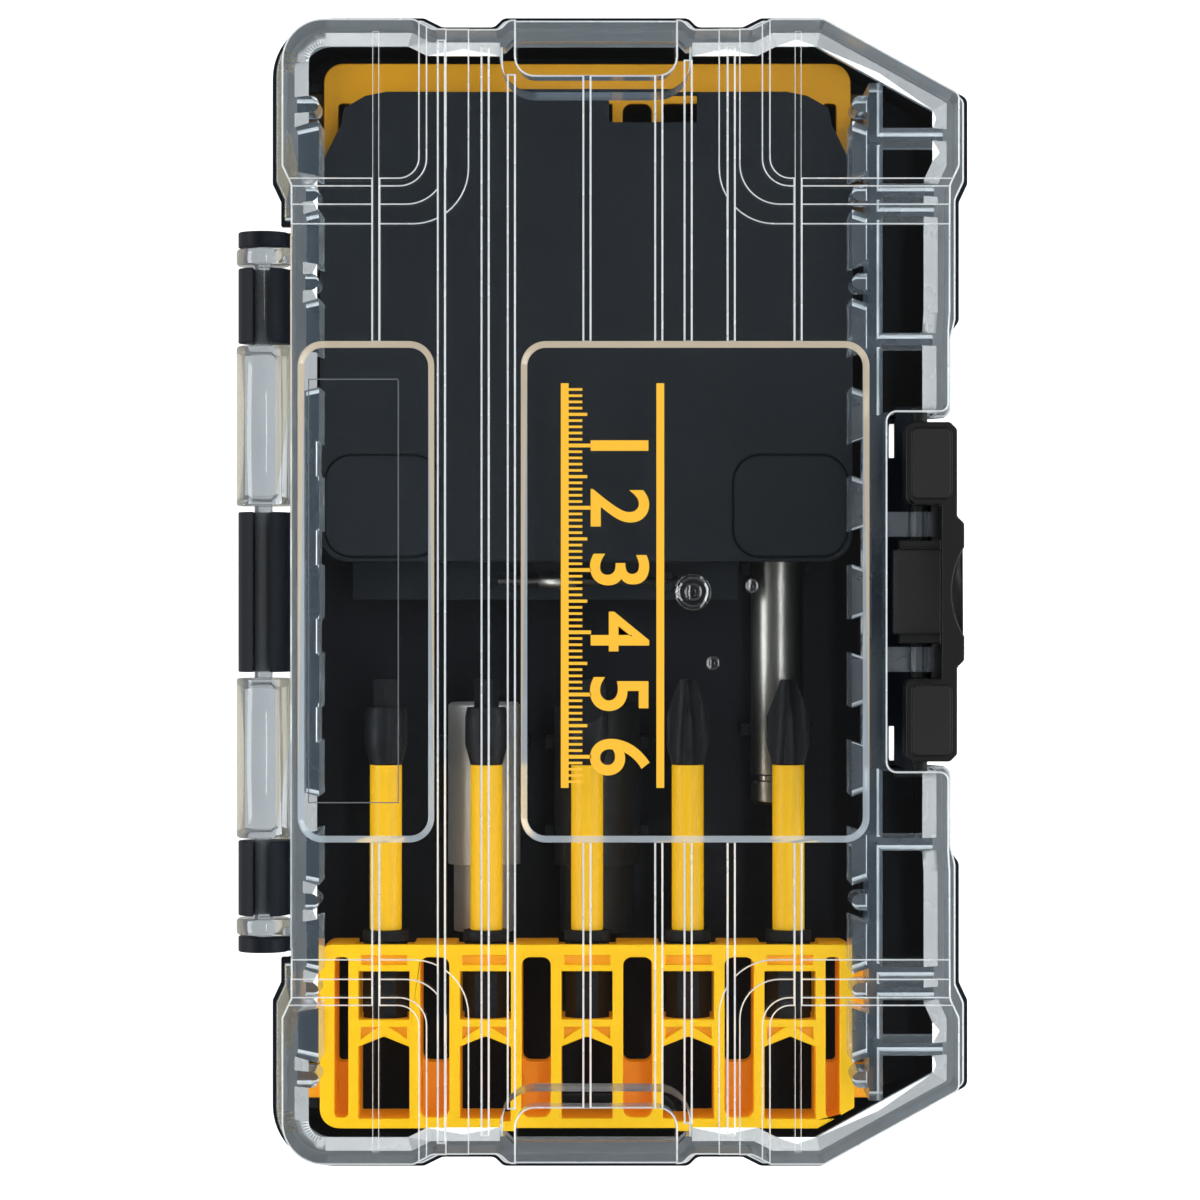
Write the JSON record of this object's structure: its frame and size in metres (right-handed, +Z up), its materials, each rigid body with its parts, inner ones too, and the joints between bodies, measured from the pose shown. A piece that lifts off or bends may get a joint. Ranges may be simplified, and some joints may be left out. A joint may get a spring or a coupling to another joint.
{
  "type": "bit set case",
  "caption": "Hinged screwdriver bit case with a ribbed clear lid, side latch, yellow bit bars, sleeved bits, nut drivers and a magnetic bit holder.",
  "frame": {"origin": "centre of the base's underside, midway along and across the base flange", "axes": "+Z up out of the lid, +X towards the latch, +Y towards the upper bit bar"},
  "size_m": [0.1209, 0.19, 0.043],
  "materials": {
    "black_plastic": "fine spark texture",
    "clear_plastic": "polished clear",
    "latch_plastic": "pebbled pads",
    "yellow_plastic": "satin moulded",
    "yellow_sleeve": "satin moulded",
    "grey_plastic": "satin moulded",
    "black_rubber": "matt",
    "black_steel": "black oxide",
    "bright_steel": "turned and plated",
    "magnet": "plated",
    "spring_ring": "bright wire"
  },
  "bodies": {
    "base": {"base_shell": "black_plastic", "lower_bit_bar": "yellow_plastic", "upper_bit_bar": "yellow_plastic", "cover_panel": "grey_plastic", "panel_pin": "bright_steel", "small_driver_socket": "bright_steel", "small_driver_shank": "bright_steel", "small_driver_magnet": "magnet", "large_driver_socket": "black_steel", "large_driver_shank": "black_steel", "large_driver_magnet": "magnet", "holder_sleeve": "bright_steel", "holder_shank": "bright_steel", "holder_magnet": "magnet", "holder_ring": "spring_ring"},
    "lid": {"lid_shell": "clear_plastic"},
    "latch": {"latch_lever": "latch_plastic"},
    "bit_1": {"bit_1_shank": "black_steel", "bit_1_sleeve": "yellow_sleeve", "bit_1_ring": "black_rubber"},
    "bit_2": {"bit_2_shank": "black_steel", "bit_2_sleeve": "yellow_sleeve", "bit_2_ring": "black_rubber"},
    "bit_3": {"bit_3_shank": "black_steel", "bit_3_sleeve": "yellow_sleeve", "bit_3_ring": "black_rubber"},
    "bit_4": {"bit_4_shank": "black_steel", "bit_4_sleeve": "yellow_sleeve", "bit_4_ring": "black_rubber"},
    "bit_5": {"bit_5_shank": "black_steel", "bit_5_sleeve": "yellow_sleeve", "bit_5_ring": "black_rubber"}
  },
  "joints": [
    {"name": "lid_hinge", "type": "hinge", "parent": "base", "child": "lid", "pos_m": [-0.059, 0, 0.023], "axis": [0, -1, 0], "range_deg": [0, 180]},
    {"name": "latch_hinge", "type": "hinge", "parent": "lid", "child": "latch", "pos_m": [0.0483, 0, 0.0368], "axis": [0, -1, 0], "range_deg": [0, 90]},
    {"name": "bit_1_slide", "type": "slide", "parent": "base", "child": "bit_1", "axis": [0, 1, 0], "range_m": [0, 0.0145]},
    {"name": "bit_2_slide", "type": "slide", "parent": "base", "child": "bit_2", "axis": [0, 1, 0], "range_m": [0, 0.0145]},
    {"name": "bit_3_slide", "type": "slide", "parent": "base", "child": "bit_3", "axis": [0, 1, 0], "range_m": [0, 0.0145]},
    {"name": "bit_4_slide", "type": "slide", "parent": "base", "child": "bit_4", "axis": [0, 1, 0], "range_m": [0, 0.0145]},
    {"name": "bit_5_slide", "type": "slide", "parent": "base", "child": "bit_5", "axis": [0, 1, 0], "range_m": [0, 0.0145]}
  ]
}
